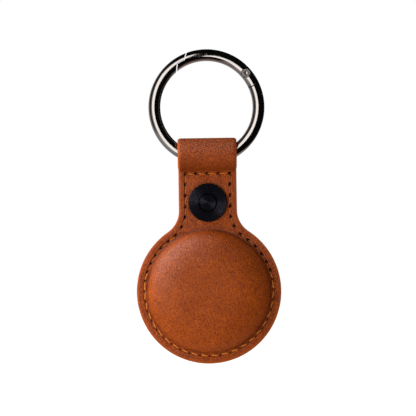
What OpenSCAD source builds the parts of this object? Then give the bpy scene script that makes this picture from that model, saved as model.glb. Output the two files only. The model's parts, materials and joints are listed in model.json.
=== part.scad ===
// Tracker tag holder: a moulded leather pouch with a snap flap behind it, hung on a spring gate ring.
// Up is +Z, the domed front faces -Y, and the origin is the centre of the ring's eye. Millimetres.

/* [Ring] */
// Clear bore of the ring
ring_inner_d = 28; // [26:0.5:32]
// Thickness of the ring's round wire
ring_wire_d = 3.6; // [3.2:0.1:4.2]

/* [Gate] */
// Angle of the gate's hinge pin round the ring, from the right side towards the top
hinge_angle = 40; // [30:1:50]
// Angle of the middle of the nose joint, measured the same way
nose_angle = 118; // [105:1:130]
// Distance from the pin to the seam where the gate's cheeks end
cheek_reach = 4.3; // [3.8:0.1:5]
// Length of the stepped lip at the nose
nose_lip = 1.9; // [1:0.1:2.6]
// Gap between the gate and the ring at its seams
gate_gap = 0.3; // [0.2:0.05:0.4]
// Thickness of the ring's tongue between the gate's cheeks
tongue_t = 1.2; // [1:0.1:1.4]
// Diameter of the hinge pin
pin_d = 1.2; // [1:0.1:1.4]
// Diameter of the pin's riveted heads
pin_head_d = 2.8; // [2.5:0.1:3]
// Height of a pin head over its seat
pin_head_t = 0.5; // [0.4:0.05:0.55]
// Outer diameter of the gate's coil spring
spring_d = 1.1; // [0.9:0.05:1.2]
// Wire of the gate's coil spring
spring_wire_d = 0.2; // [0.15:0.01:0.22]
// Length of the gate's coil spring
spring_length = 3.6; // [3:0.1:4]
// Turns of the gate's coil spring
spring_turns = 7; // [5:1:8]

/* [Leather] */
// Thickness of the front leather and of the back leather
leather_t = 1.4; // [1.1:0.1:1.7]
// Thickness of the skived inner layer
lining_t = 1; // [0.9:0.05:1.3]
// Radius of the pouch at its cut edge
pouch_r = 21.9; // [21.4:0.1:25]
// Width of the neck and its loop
neck_w = 17.6; // [16.6:0.2:19]
// Radius of the inner corner between neck and pouch
neck_fillet_r = 7.9; // [6:0.1:10]
// How far the seam plane lies behind the ring's own plane
seam_back = 0.7; // [0:0.1:2.4]
// Drop from the swing axis in the loop to the top of the pouch's circle, behind the neck
neck_drop = 19.75; // [18.9:0.05:26]
// Drop from the swing axis to the stitch row under the loop
row_drop = 5.9; // [5.7:0.1:6.6]
// Room between the ring and the inside of the loop
loop_clearance = 0.145; // [0.1:0.005:0.3]

/* [Pocket] */
// Width of the flange between the dome's wall and the pouch's cut edge
flange_w = 3.4; // [3.4:0.1:6]
// Depth of the pocket, from the back leather to the inside of the dome
pocket_depth = 8.3; // [7:0.1:10]
// How full the dome's section is: 2 is an ellipse, and more is flatter on top with a tighter shoulder
dome_fullness = 3.4; // [2.6:0.1:5]
// Radius of the foot where the dome meets the flange
foot_r = 0.4; // [0.2:0.05:0.4]
// Wall between the pocket and the opening in the inner layer
welt_step = 0.3; // [0.1:0.05:0.6]

/* [Back flap] */
// Height of the flap's fold over the pouch's centre
fold_rise = 3.5; // [2:0.1:5]
// How far the flap's edge stays inside the pouch's edge
flap_inset = 0.5; // [0.3:0.1:1]
// Air between the closed flap and what it lies on
flap_gap = 0.2; // [0.15:0.01:0.3]
// Distance of the flap's top edge below the stitch row
tongue_drop = 1.9; // [1.4:0.1:2.4]
// Radius of the flap's top corners
tongue_corner_r = 5; // [3:0.1:6.5]

/* [Seams] */
// Distance of the seam from the pouch's edge
seam_inset = 2.5; // [2.2:0.05:2.6]
// Distance of the seam from the neck's edge
neck_seam_inset = 2.3; // [2:0.05:2.6]
// Length of a stitch
stitch_pitch = 3.1; // [2.6:0.1:4]
// Diameter of the needle thread on the front
needle_thread_d = 0.6; // [0.5:0.02:0.7]
// Diameter of the bobbin thread on the back
bobbin_thread_d = 0.44; // [0.36:0.02:0.5]
// Diameter of a stitch hole
stitch_hole_d = 0.8; // [0.7:0.02:0.86]
// Width of the pressed groove that the stitches lie in
groove_w = 0.9; // [0.88:0.01:0.98]
// Depth of the groove on the front
front_groove = 0.35; // [0.25:0.01:0.4]
// Slant of a stitch to its seam, as a sideways shift of its ends
stitch_slant = 0.1; // [0:0.01:0.12]

/* [Snap] */
// Drop from the swing axis to the snap's centre
snap_drop = 14.7; // [14.2:0.1:16]
// Distance between the cap on the front and the seams beside it
cap_seam_gap = 0.65; // [0.45:0.05:1.5]
// Thickness of the cap
cap_t = 0.9; // [0.8:0.05:1.3]
// Bevel at the rim of the cap
cap_bevel = 0.25; // [0.1:0.05:0.4]
// Diameter of the post's head in the middle of the cap
post_head_d = 5.25; // [4.6:0.05:6.4]
// Thickness of the post's head
post_head_t = 0.45; // [0.3:0.05:0.6]
// Groove between the post's head and the cap
post_groove = 0.3; // [0.15:0.05:0.4]
// Diameter of the post's shank
shank_d = 2.6; // [2.2:0.1:2.8]
// Diameter of the socket's flange
socket_d = 10; // [9:0.1:11]
// Height of the socket over the leather
socket_h = 1.9; // [1.8:0.05:2.3]
// Outer diameter of the socket's hub
hub_d = 6.6; // [6.2:0.1:7.4]
// Thickness of the sheet metal of the socket and of the stud
sheet_t = 0.4; // [0.35:0.01:0.5]
// Diameter of the stud's knob
knob_d = 3.6; // [3.2:0.05:3.8]
// Clearance round the knob inside the socket
knob_clearance = 0.15; // [0.1:0.01:0.2]
// Diameter of the wire of the socket's split spring
socket_wire_d = 0.34; // [0.3:0.01:0.4]
// Diameter of the stud's flange
stud_d = 8; // [7.2:0.1:9]
// Diameter of the rivet cap on the back of the flap
rivet_d = 9; // [8:0.1:10]
// Thickness of the rivet cap at its middle
rivet_t = 0.7; // [0.6:0.05:0.9]

/* [Hidden] */
$fn = 64;
// Overrun of every cut past the face that it leaves through
overrun = 0.2;

// Ring
wire_r = ring_wire_d / 2;
ring_mean_r = ring_inner_d / 2 + wire_r;
nose_r = 2 * ring_mean_r * sin((nose_angle - hinge_angle) / 2);
nose_outer_r = nose_r - nose_lip / 2;
nose_inner_r = nose_r + nose_lip / 2;
// Running clearances at the hinge pin, at its heads and beside the tongue
pin_clearance = 0.03;
head_clearance = 0.05;
tongue_clearance = 0.05;
slot_t = tongue_t + 2 * tongue_clearance;
// Plane of the pin heads' seats, and the top of the heads
seat_w = wire_r - pin_head_t - head_clearance;
head_top = seat_w + head_clearance / 2 + pin_head_t;
// The tongue ends in a flat face for the spring, with corners that swing clear inside the slot
tongue_wall = 0.7;
tongue_end = pin_d / 2 + tongue_wall;
tongue_r = wire_r + gate_gap;
slot_r = tongue_r + gate_gap / 2;
// Metal between the spring's bore and the inner side of the gate
spring_wall = 0.4;
spring_offset = wire_r - spring_d / 2 - spring_wall;
spring_clearance = 0.075;
spring_start = tongue_end + spring_clearance;

// Loop and pouch
neck_hw = neck_w / 2;
wire_top_z = -sqrt(pow(ring_inner_d / 2, 2) - pow(neck_hw, 2));
wire_bottom_z = -(ring_mean_r + wire_r);
pivot_z = (wire_top_z + wire_bottom_z) / 2;
loop_r = (wire_top_z - wire_bottom_z) / 2 + loop_clearance;
pouch_drop = neck_drop + pouch_r;
pouch_z = pivot_z - pouch_drop;
row_z = pivot_z - row_drop;
snap_z = pivot_z - snap_drop;
fold_z = pouch_z + fold_rise;
// Planes of the leather layers, front to back
seam_y = seam_back;
front_y = seam_y - leather_t;
lining_y = seam_y + lining_t;
panel_back_y = lining_y + leather_t;
flap_y = lining_y + flap_gap;
// The loop's legs close this far above the groove of the stitch row
loop_close_gap = 0.1;
loop_close_rise = groove_w / 2 + loop_close_gap;

// Dome, in heights in front of the seam plane
dome_r = pouch_r - flange_w;
pocket_r = dome_r - leather_t;
dome_top = pocket_depth - lining_t + leather_t;
dome_steps = 18;
welt_r = pocket_r + welt_step;

// Flap: the tongue stands off the neck by the height of the closed snap
stud_gap = 0.1;
stud_y = lining_y + socket_h + stud_gap;
tongue_y = stud_y + sheet_t;
bend_room = 0.4;
bend_length = 6.6;
bend_top_z = snap_z - socket_d / 2 - bend_room;
bend_bottom_z = bend_top_z - bend_length;
bend_steps = 10;
fold_gap = 0.3;

// Seams
seam_r = pouch_r - seam_inset;
neck_seam_hw = neck_hw - neck_seam_inset;
seam_fillet_r = neck_fillet_r + (seam_inset + neck_seam_inset) / 2;
fold_seam_angle = asin(fold_rise / seam_r);
// Air under a thread in its groove
thread_seat = 0.02;
back_groove = bobbin_thread_d + thread_seat;
row_stitches = 4;

// Corner between neck and pouch
function corner_centre(r, hw, fillet) = [hw + fillet, sqrt(pow(r + fillet, 2) - pow(hw + fillet, 2))];
function corner_angle(r, hw, fillet) =
    let (c = corner_centre(r, hw, fillet)) atan2(c.y, c.x);
function arc(centre, r, from, to, steps) =
    [for (i = [0 : steps]) let (a = from + (to - from) * i / steps) centre + r * [cos(a), sin(a)]];

// Outline of neck and pouch about the pouch's centre, closed at a height over that centre
function outline(r, hw, fillet, top) =
    let (c = corner_centre(r, hw, fillet), a = corner_angle(r, hw, fillet))
    concat(
        arc([0, 0], r, 180 - a, 360 + a, 96),
        arc(c, fillet, 180 + a, 180, 12),
        [[hw, top], [-hw, top]],
        arc([-c.x, c.y], fillet, 0, -a, 12)
    );

// Lays a flat outline in the XZ plane, thick from one Y to another
module slab(from_y, to_y) {
    translate([0, to_y, 0])
        rotate([90, 0, 0])
            linear_extrude(to_y - from_y)
                children();
}

// Turns a profile about the Y axis through the pouch's centre, its heights in front of a plane
module turned_front(y, z) {
    translate([0, y, z])
        rotate([90, 0, 0])
            rotate_extrude()
                children();
}

// Turns a profile about the same kind of axis, its heights behind a plane
module turned_back(y, z) {
    translate([0, y, z])
        rotate([-90, 0, 0])
            rotate_extrude()
                children();
}

// Ring parts are drawn in the ring's own plane, turned so that the hinge pin lies on +X
module in_ring_plane() {
    rotate([90, 0, 0])
        rotate([0, 0, hinge_angle])
            children();
}

module wire_torus() {
    rotate_extrude()
        translate([ring_mean_r, 0])
            circle(r = wire_r);
}

module ring_plate(t) {
    linear_extrude(t, center = true)
        children();
}

module at_pin() {
    translate([ring_mean_r, 0])
        children();
}

// The half of the ring's plane on the nose side of the hinge pin
module nose_side() {
    translate([-ring_inner_d, 0])
        square([2 * ring_inner_d, ring_inner_d]);
}

// The half of the ring's plane on the tongue side of the hinge pin, near the pin
module tongue_side(reach) {
    translate([ring_mean_r - 2 * wire_r, -reach])
        square([4 * wire_r, reach]);
}

// The gate's share of the ring's plane, grown by a gap
module gate_area(gap) {
    at_pin()
        circle(r = cheek_reach + gap);
    intersection() {
        nose_side();
        union() {
            at_pin()
                circle(r = nose_outer_r + gap);
            intersection() {
                at_pin()
                    circle(r = nose_inner_r + gap);
                circle(r = ring_mean_r - gate_gap / 2 + gap);
            }
        }
    }
}

module tongue_area() {
    intersection() {
        union() {
            tongue_side(cheek_reach + 2 * gate_gap);
            at_pin()
                circle(r = tongue_r);
        }
        translate([ring_mean_r - 2 * wire_r, -2 * cheek_reach])
            square([4 * wire_r, 2 * cheek_reach + tongue_end]);
    }
}

module ring_body() {
    color("#3a3a3f")
        in_ring_plane()
            difference() {
                union() {
                    difference() {
                        wire_torus();
                        ring_plate(2 * ring_wire_d)
                            gate_area(gate_gap);
                    }
                    intersection() {
                        wire_torus();
                        ring_plate(tongue_t)
                            tongue_area();
                    }
                }
                translate([ring_mean_r, 0, 0])
                    cylinder(d = pin_d, h = ring_wire_d, center = true);
            }
}

module ring_gate() {
    color("#46464c")
        in_ring_plane()
            difference() {
                intersection() {
                    wire_torus();
                    ring_plate(2 * ring_wire_d)
                        gate_area(0);
                }
                ring_plate(slot_t)
                    union() {
                        tongue_side(cheek_reach + overrun);
                        at_pin()
                            circle(r = slot_r);
                    }
                translate([ring_mean_r, 0, 0])
                    cylinder(r = pin_d / 2 + pin_clearance, h = ring_wire_d, center = true);
                for (side = [-1, 1])
                    translate([ring_mean_r, 0, side * (seat_w + wire_r)])
                        cylinder(r = pin_head_d / 2 + head_clearance, h = 2 * wire_r, center = true);
                translate([ring_mean_r - spring_offset, 0, 0])
                    rotate([-90, 0, 0])
                        cylinder(r = spring_d / 2 + spring_clearance, h = spring_start + spring_length);
            }
}

// One half of the pin's profile, from its middle to a head with a ring groove and a centre dimple
function pin_half() =
    let (r = pin_head_d / 2, edge = 0.3 * pin_head_t, low = seat_w + head_clearance / 2)
    [
        [pin_d / 2, low], [r, low], [r, head_top - edge], [r - edge, head_top], [0.62 * r, head_top],
        [0.55 * r, head_top - edge], [0.42 * r, head_top - edge], [0.34 * r, head_top],
        [0.2 * r, head_top - edge / 2], [0, head_top - edge]
    ];

module gate_pin() {
    half = pin_half();
    color("#5a5a60")
        in_ring_plane()
            translate([ring_mean_r, 0, 0])
                rotate_extrude()
                    polygon(concat(
                        half,
                        [for (i = [len(half) - 1 : -1 : 0]) [half[i].x, -half[i].y]]
                    ));
}

// A round wire wound about +Z: each ring of points is set square to the helix
function helix_ring(angle, coil_r, pitch, r, sides) =
    let (
        out = [cos(angle), sin(angle), 0],
        rise = pitch / (2 * PI * coil_r),
        along = [-sin(angle), cos(angle), rise] / sqrt(1 + rise * rise),
        up = cross(out, along)
    )
    [for (k = [0 : sides - 1])
        (coil_r + r * cos(360 * k / sides)) * out - r * sin(360 * k / sides) * up
        + [0, 0, pitch * angle / 360]];

module coil(coil_r, pitch, turns, r, steps, sides) {
    rings = turns * steps;
    points = [for (i = [0 : rings]) each helix_ring(360 * i / steps, coil_r, pitch, r, sides)];
    walls = [for (i = [0 : rings - 1]) for (k = [0 : sides - 1]) each [
        [i * sides + k, i * sides + (k + 1) % sides, (i + 1) * sides + (k + 1) % sides],
        [i * sides + k, (i + 1) * sides + (k + 1) % sides, (i + 1) * sides + k]
    ]];
    first = [for (k = [1 : sides - 2]) [0, k + 1, k]];
    last = [for (k = [1 : sides - 2]) [rings * sides, rings * sides + k, rings * sides + k + 1]];
    polyhedron(points, concat(walls, first, last));
}

module gate_spring() {
    coil_r = (spring_d - spring_wire_d) / 2;
    color("#9a9a9a")
        in_ring_plane()
            translate([ring_mean_r - spring_offset, spring_start + spring_wire_d / 2, 0])
                rotate([-90, 0, 0])
                    coil(coil_r, (spring_length - 2 * spring_wire_d) / spring_turns, spring_turns,
                        spring_wire_d / 2, 12, 6);
}

// The dome's profile from its foot to the axis, for a shell face at some depth under its outer face. It is
// an oval: its height goes with a sine, and its radius with the cosine to a power that the fullness sets.
function dome_profile(depth, foot) =
    let (power = 2 / dome_fullness, base = leather_t + foot_r, rise = dome_top - base, first = foot ? 1 : 0)
    concat(
        foot ? arc([dome_r + foot_r, base], foot_r, 270, 180, 4) : [[dome_r - depth, -overrun]],
        [for (i = [first : dome_steps - 1])
            let (
                u = 90 * (1 - pow(1 - i / dome_steps, 2)),
                face = [dome_r * pow(cos(u), power), base + rise * sin(u)],
                normal = [rise * pow(cos(u), 2 - power), dome_r * power * sin(u)]
            )
            face - depth * normal / norm(normal)],
        [[0, dome_top - depth]]
    );

// The loop's closed profile in Y and Z about a radius, tangent to the points where its legs close
function tangent_angle(p, r, side) =
    let (d = p - [0, pivot_z]) atan2(d.y, d.x) + side * acos(r / norm(d));
function loop_outline(r, front_point, back_point) =
    arc([0, pivot_z], r, tangent_angle(back_point, r, 1), 360 + tangent_angle(front_point, r, -1), 48);

module loop_solid() {
    front_point = [front_y, row_z + loop_close_rise];
    back_point = [lining_y, row_z + loop_close_rise];
    tip = [seam_y, row_z + loop_close_rise + loop_close_gap];
    rotate([90, 0, 90])
        linear_extrude(neck_w, center = true)
            difference() {
                polygon(concat(
                    loop_outline(loop_r + leather_t, front_point, back_point),
                    [front_point, [front_y, row_z], [lining_y, row_z], back_point]
                ));
                polygon(concat(loop_outline(loop_r, tip, tip), [tip]));
            }
}

// Places of the stitches along one side, from the row's corner to the fold
seam_corner = corner_centre(seam_r, neck_seam_hw, seam_fillet_r);
seam_corner_angle = corner_angle(seam_r, neck_seam_hw, seam_fillet_r);
side_line = row_z - pouch_z - seam_corner.y;
side_bend = seam_fillet_r * seam_corner_angle * PI / 180;
side_round = seam_r * (seam_corner_angle - fold_seam_angle) * PI / 180;
side_length = side_line + side_bend + side_round;
side_stitches = round(side_length / stitch_pitch);
lower_sweep = 180 + 2 * fold_seam_angle;
lower_stitches = round(seam_r * lower_sweep * PI / 180 / stitch_pitch);

// A point of the seam at a length from the row's corner, about the pouch's centre
function side_point(s) =
    s < side_line ? [neck_seam_hw, seam_corner.y + side_line - s]
    : s < side_line + side_bend
        ? let (a = 180 + (s - side_line) / seam_fillet_r * 180 / PI)
            seam_corner + seam_fillet_r * [cos(a), sin(a)]
        : let (a = seam_corner_angle - (s - side_line - side_bend) / seam_r * 180 / PI)
            seam_r * [cos(a), sin(a)];
function mirrored(points) = [for (p = points) [-p.x, p.y]];
function reversed(points) = [for (i = [len(points) - 1 : -1 : 0]) points[i]];
side_points = [for (i = [0 : side_stitches]) side_point(side_length * i / side_stitches)];
row_points = [for (i = [0 : row_stitches]) [neck_seam_hw * (1 - 2 * i / row_stitches), row_z - pouch_z]];
upper_points = concat(
    reversed(side_points),
    [for (i = [1 : row_stitches - 1]) row_points[i]],
    mirrored(side_points)
);
lower_points = arc([0, 0], seam_r, 180 - fold_seam_angle, 360 + fold_seam_angle, lower_stitches);

// One stitch between two holes: an eight-sided bar along the leather, and its leg down the first hole
leg_share = 0.7;
module stitch(p, q, d, y, leg, toward) {
    dir = (q - p) / norm(q - p);
    end = q - dir * (stitch_hole_d / 2 + d) + stitch_slant * [dir.y, -dir.x];
    angle = atan2(end.y - p.y, end.x - p.x);
    translate([p.x, y, pouch_z + p.y]) {
        rotate([0, 90 - angle, 0])
            translate([0, 0, -d / 2])
                cylinder(d = d, h = norm(end - p) + d, $fn = 8);
        rotate([-90 * toward, 0, 0])
            cylinder(d = leg_share * d, h = leg, $fn = 8);
    }
}

module stitches(points, d, y, leg, toward) {
    for (i = [0 : len(points) - 2])
        stitch(points[i], points[i + 1], d, y, leg, toward);
}

module stitch_holes(points, from_y, to_y) {
    for (p = points)
        translate([p.x, from_y, pouch_z + p.y])
            rotate([-90, 0, 0])
                cylinder(d = stitch_hole_d, h = to_y - from_y, $fn = 16);
}

// The pressed groove under the upper seam, as a band each side of its line
module upper_groove() {
    h = groove_w / 2;
    intersection() {
        difference() {
            polygon(outline(seam_r + h, neck_seam_hw + h, seam_fillet_r - h, row_z - pouch_z + h));
            polygon(outline(seam_r - h, neck_seam_hw - h, seam_fillet_r + h, row_z - pouch_z - h));
        }
        translate([-pouch_r, fold_rise - h])
            square([2 * pouch_r, pouch_drop]);
    }
}

module lower_groove() {
    h = groove_w / 2;
    intersection() {
        difference() {
            circle(r = seam_r + h);
            circle(r = seam_r - h);
        }
        translate([-pouch_r, fold_rise + h - 2 * pouch_r])
            square([2 * pouch_r, 2 * pouch_r]);
    }
}

// The hole for the snap's shank through the front leather and what backs it
module shank_hole() {
    translate([0, front_y - overrun, snap_z])
        rotate([-90, 0, 0])
            cylinder(d = shank_d, h = leather_t + lining_t + 2 * overrun);
}

module at_pouch() {
    translate([0, 0, pouch_z])
        children();
}

module front_panel() {
    neck_top = row_z - pouch_z;
    corner = corner_centre(pouch_r, neck_hw, neck_fillet_r);
    color("#a5552f")
        difference() {
            union() {
                at_pouch()
                    slab(front_y, seam_y)
                        polygon(outline(pouch_r, neck_hw, neck_fillet_r, neck_top));
                at_pouch()
                    slab(seam_y, lining_y)
                        translate([-neck_hw, corner.y])
                            square([neck_w, neck_top - corner.y]);
                turned_front(seam_y, pouch_z)
                    polygon(concat([[0, 0], [dome_r + foot_r, 0]], dome_profile(0, true)));
                loop_solid();
            }
            turned_front(seam_y, pouch_z)
                polygon(concat([[0, -overrun]], dome_profile(leather_t, false)));
            at_pouch()
                slab(front_y - overrun, front_y + front_groove) {
                    upper_groove();
                    lower_groove();
                }
            at_pouch()
                slab(lining_y - back_groove, lining_y + overrun)
                    intersection() {
                        upper_groove();
                        translate([-neck_hw, corner.y])
                            square([neck_w, neck_top]);
                    }
            stitch_holes(concat(upper_points, lower_points), front_y - overrun, lining_y + overrun);
            shank_hole();
        }
}

module seam_welt() {
    corner = corner_centre(pouch_r, neck_hw, neck_fillet_r);
    color("#8f4a28")
        difference() {
            at_pouch()
                slab(seam_y, lining_y)
                    difference() {
                        polygon(outline(pouch_r, neck_hw, neck_fillet_r, corner.y));
                        circle(r = welt_r);
                    }
            at_pouch()
                slab(lining_y - back_groove, lining_y + overrun)
                    upper_groove();
            stitch_holes(concat(upper_points, lower_points), seam_y - overrun, lining_y + overrun);
            shank_hole();
        }
}

module back_panel() {
    color("#9c5030")
        difference() {
            at_pouch()
                slab(lining_y, panel_back_y)
                    intersection() {
                        circle(r = pouch_r);
                        translate([-pouch_r, fold_rise - 2 * pouch_r])
                            square([2 * pouch_r, 2 * pouch_r]);
                    }
            at_pouch()
                slab(panel_back_y - back_groove, panel_back_y + overrun)
                    lower_groove();
            stitch_holes(lower_points, lining_y - overrun, panel_back_y + overrun);
        }
}

// The flap's front face at a height: flat on the pouch, then an S bend up to the snap's height
function flap_face(z) =
    let (t = min(1, max(0, (z - bend_bottom_z) / (bend_top_z - bend_bottom_z))))
    flap_y + (tongue_y - flap_y) * (1 - cos(180 * t)) / 2;

module flap_sheet() {
    top = row_z - tongue_drop;
    heights = concat(
        [fold_z + fold_gap],
        [for (i = [0 : bend_steps]) bend_bottom_z + (bend_top_z - bend_bottom_z) * i / bend_steps],
        [top]
    );
    rotate([90, 0, 90])
        linear_extrude(2 * pouch_r, center = true)
            polygon(concat(
                [for (z = heights) [flap_face(z), z]],
                [for (i = [len(heights) - 1 : -1 : 0]) [flap_face(heights[i]) + leather_t, heights[i]]]
            ));
}

module flap_outline() {
    r = tongue_corner_r;
    hw = neck_hw - flap_inset;
    top = row_z - tongue_drop - pouch_z;
    difference() {
        polygon(outline(pouch_r - flap_inset, hw, neck_fillet_r + flap_inset, top));
        for (side = [-1, 1])
            difference() {
                translate([side * (hw + overrun - r / 2 - overrun / 2), top - r / 2 + overrun / 2])
                    square([r + overrun, r + overrun], center = true);
                translate([side * (hw - r), top - r])
                    circle(r = r);
            }
    }
}

module back_flap() {
    color("#9c5030")
        difference() {
            intersection() {
                flap_sheet();
                at_pouch()
                    slab(flap_y - overrun, tongue_y + leather_t + overrun)
                        flap_outline();
            }
            translate([0, tongue_y - overrun, snap_z])
                rotate([-90, 0, 0])
                    cylinder(d = rivet_shank_d, h = leather_t + 2 * overrun);
        }
}

// Snap: post and socket clamp the neck, stud and rivet clamp the flap
cap_d = 2 * (neck_seam_hw - cap_seam_gap);
recess_r = post_head_d / 2 + post_groove;
stack_t = leather_t + lining_t;
knob_r = knob_d / 2;
knob_wall = 0.55;
// The post ends in a flare on the socket's floor, and the knob ends a stud gap short of it
flare_t = 0.6 * sheet_t;
knob_h = socket_h - flare_t;
rivet_shank_d = knob_d - 2 * knob_wall;
// Share of the rivet cap's thickness that its rim keeps
rim_share = 0.4;

module snap_cap() {
    r = cap_d / 2;
    color("#17191f")
        turned_front(front_y, snap_z)
            polygon([
                [shank_d / 2, 0], [r, 0], [r, cap_t - cap_bevel], [r - cap_bevel, cap_t], [recess_r, cap_t],
                [recess_r, cap_t - post_head_t], [shank_d / 2, cap_t - post_head_t]
            ]);
}

module snap_post() {
    r = post_head_d / 2;
    foot = -stack_t - sheet_t;
    color("#1c1e25")
        turned_front(front_y, snap_z)
            polygon([
                [0, cap_t], [r - cap_bevel / 2, cap_t], [r, cap_t - cap_bevel / 2], [r, cap_t - post_head_t],
                [shank_d / 2, cap_t - post_head_t], [shank_d / 2, foot],
                [shank_d / 2 + flare_t, foot], [shank_d / 2, foot - flare_t], [0, foot - flare_t]
            ]);
}

// Height of the split spring in the socket
spring_h = socket_h - 1.4 * sheet_t;
mouth_r = knob_r + knob_clearance;
spring_ring_r = mouth_r + socket_wire_d / 2;
spring_seat = 0.03;

module snap_socket() {
    r = hub_d / 2;
    seat_r = spring_ring_r + socket_wire_d / 2 + spring_seat;
    seat_h = socket_wire_d / 2 + spring_seat;
    cavity_r = mouth_r + sheet_t / 2;
    color("#2a2b30")
        turned_back(lining_y, snap_z)
            polygon([
                [shank_d / 2, 0], [socket_d / 2, 0], [socket_d / 2, sheet_t], [r, sheet_t],
                [r, socket_h - sheet_t / 2], [r - sheet_t / 2, socket_h], [mouth_r, socket_h],
                [mouth_r, spring_h + seat_h], [seat_r, spring_h + seat_h], [seat_r, spring_h - seat_h],
                [cavity_r, spring_h - seat_h], [cavity_r, sheet_t], [shank_d / 2, sheet_t]
            ]);
}

module socket_spring() {
    split = 30;
    color("#b0b0b0")
        translate([0, lining_y + spring_h, snap_z])
            rotate([-90, 0, 0])
                rotate_extrude(angle = 360 - split, start = split / 2)
                    translate([spring_ring_r, 0])
                        circle(d = socket_wire_d, $fn = 24);
}

// The stud's profile in heights in front of its flange's back face, and its knob with a waist
module snap_stud() {
    waist_r = knob_r - 0.45 * sheet_t;
    color("#2a2b30")
        turned_front(tongue_y, snap_z)
            polygon([
                [rivet_shank_d / 2, 0], [stud_d / 2, 0], [stud_d / 2, sheet_t], [waist_r, sheet_t],
                [waist_r, knob_h - 1.5 * sheet_t], [knob_r, knob_h - sheet_t],
                [knob_r, knob_h - sheet_t / 2], [knob_r - sheet_t / 2, knob_h], [rivet_shank_d / 2, knob_h]
            ]);
}

module stud_rivet() {
    r = rivet_d / 2;
    color("#1c1e25")
        turned_back(tongue_y + leather_t, snap_z)
            polygon(concat(
                [[0, -leather_t - knob_h], [rivet_shank_d / 2, -leather_t - knob_h]],
                [[rivet_shank_d / 2, 0], [r, 0]],
                [for (i = [0 : 6]) [r * cos(15 * i), rivet_t * (rim_share + (1 - rim_share) * sin(15 * i))]]
            ));
}

module upper_needle_thread() {
    color("#c77c2c")
        stitches(upper_points, needle_thread_d, front_y + front_groove - needle_thread_d / 2 - thread_seat,
            stack_t / 2, 1);
}

module upper_bobbin_thread() {
    color("#c77c2c")
        stitches(upper_points, bobbin_thread_d, lining_y - back_groove + bobbin_thread_d / 2 + thread_seat,
            lining_t / 4, -1);
}

module lower_needle_thread() {
    color("#c77c2c")
        stitches(lower_points, needle_thread_d, front_y + front_groove - needle_thread_d / 2 - thread_seat,
            stack_t / 2, 1);
}

module lower_bobbin_thread() {
    color("#c77c2c")
        stitches(lower_points, bobbin_thread_d,
            panel_back_y - back_groove + bobbin_thread_d / 2 + thread_seat, leather_t, -1);
}

ring_body();
ring_gate();
gate_pin();
gate_spring();
front_panel();
seam_welt();
back_panel();
back_flap();
snap_cap();
snap_post();
snap_socket();
socket_spring();
snap_stud();
stud_rivet();
upper_needle_thread();
upper_bobbin_thread();
lower_needle_thread();
lower_bobbin_thread();
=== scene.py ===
# %% [markdown]
# # Leather tracker tag holder on a spring gate ring
# The object hangs from a polished gunmetal ring. A folded strip of tan leather wraps the ring, and its lower
# end is moulded into a round pouch that is sewn to a lining and to a back with a snap flap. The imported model
# comes in first as a fixed frame, so that every surface made below sits where the construction says.

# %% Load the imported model
import json
import math

import bmesh
import bpy
import numpy as np
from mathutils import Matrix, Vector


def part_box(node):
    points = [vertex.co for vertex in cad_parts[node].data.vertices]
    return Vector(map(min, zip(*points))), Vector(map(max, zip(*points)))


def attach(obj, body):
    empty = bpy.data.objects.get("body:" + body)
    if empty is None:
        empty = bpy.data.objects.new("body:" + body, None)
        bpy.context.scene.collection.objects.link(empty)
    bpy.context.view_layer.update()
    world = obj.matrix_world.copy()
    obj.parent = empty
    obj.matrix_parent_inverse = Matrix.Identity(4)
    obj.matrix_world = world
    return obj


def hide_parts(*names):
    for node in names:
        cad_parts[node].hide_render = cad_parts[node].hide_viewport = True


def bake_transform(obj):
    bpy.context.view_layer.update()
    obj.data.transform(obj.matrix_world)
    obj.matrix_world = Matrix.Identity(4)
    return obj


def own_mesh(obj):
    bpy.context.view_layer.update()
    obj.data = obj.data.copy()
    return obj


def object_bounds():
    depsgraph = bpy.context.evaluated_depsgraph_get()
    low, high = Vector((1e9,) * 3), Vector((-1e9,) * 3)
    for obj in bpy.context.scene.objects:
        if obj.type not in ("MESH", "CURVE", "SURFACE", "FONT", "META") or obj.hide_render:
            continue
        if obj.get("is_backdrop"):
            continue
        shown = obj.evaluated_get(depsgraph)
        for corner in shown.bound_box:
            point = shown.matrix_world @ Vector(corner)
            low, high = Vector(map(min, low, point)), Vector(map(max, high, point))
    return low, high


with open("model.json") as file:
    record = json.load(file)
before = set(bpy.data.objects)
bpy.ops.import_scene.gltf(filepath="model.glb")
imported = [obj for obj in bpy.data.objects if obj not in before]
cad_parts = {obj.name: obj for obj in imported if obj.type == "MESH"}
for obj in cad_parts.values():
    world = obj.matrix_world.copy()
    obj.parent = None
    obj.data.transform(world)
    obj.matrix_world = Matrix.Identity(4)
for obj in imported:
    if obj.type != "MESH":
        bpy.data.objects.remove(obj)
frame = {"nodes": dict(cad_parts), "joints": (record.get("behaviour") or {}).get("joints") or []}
nodes = frame["nodes"]
bpy.context.view_layer.update()
cad_box = [list(corner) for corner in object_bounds()]
print("CAD box in metres:", [[round(x, 4) for x in corner] for corner in cad_box])

# %% [markdown]
# ## Sizes
# Leather goods are drawn in millimetres, so the shapes below are too, and a mesh is scaled when it is made.
# Sizes that the frame can tell are measured on it. Names end in r for a radius, t for a thickness, hw for
# half a width, y and z for a place in the frame, and h for a height over the pouch's centre, or over the
# loop's axis on the loop's path.

# %% Measure the frame
MM = 0.001


def box_mm(node):
    """Lowest and highest corner of a CAD node, in millimetres."""
    low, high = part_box(node)
    return np.array(low) / MM, np.array(high) / MM


joints = {joint["name"]: joint for joint in frame["joints"]}
front_low, front_high = box_mm("front_panel")
welt_low, welt_high = box_mm("seam_welt")
panel_high = box_mm("back_panel")[1]
flap_low, flap_high = box_mm("back_flap")
cap_low, cap_high = box_mm("snap_cap")

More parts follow.
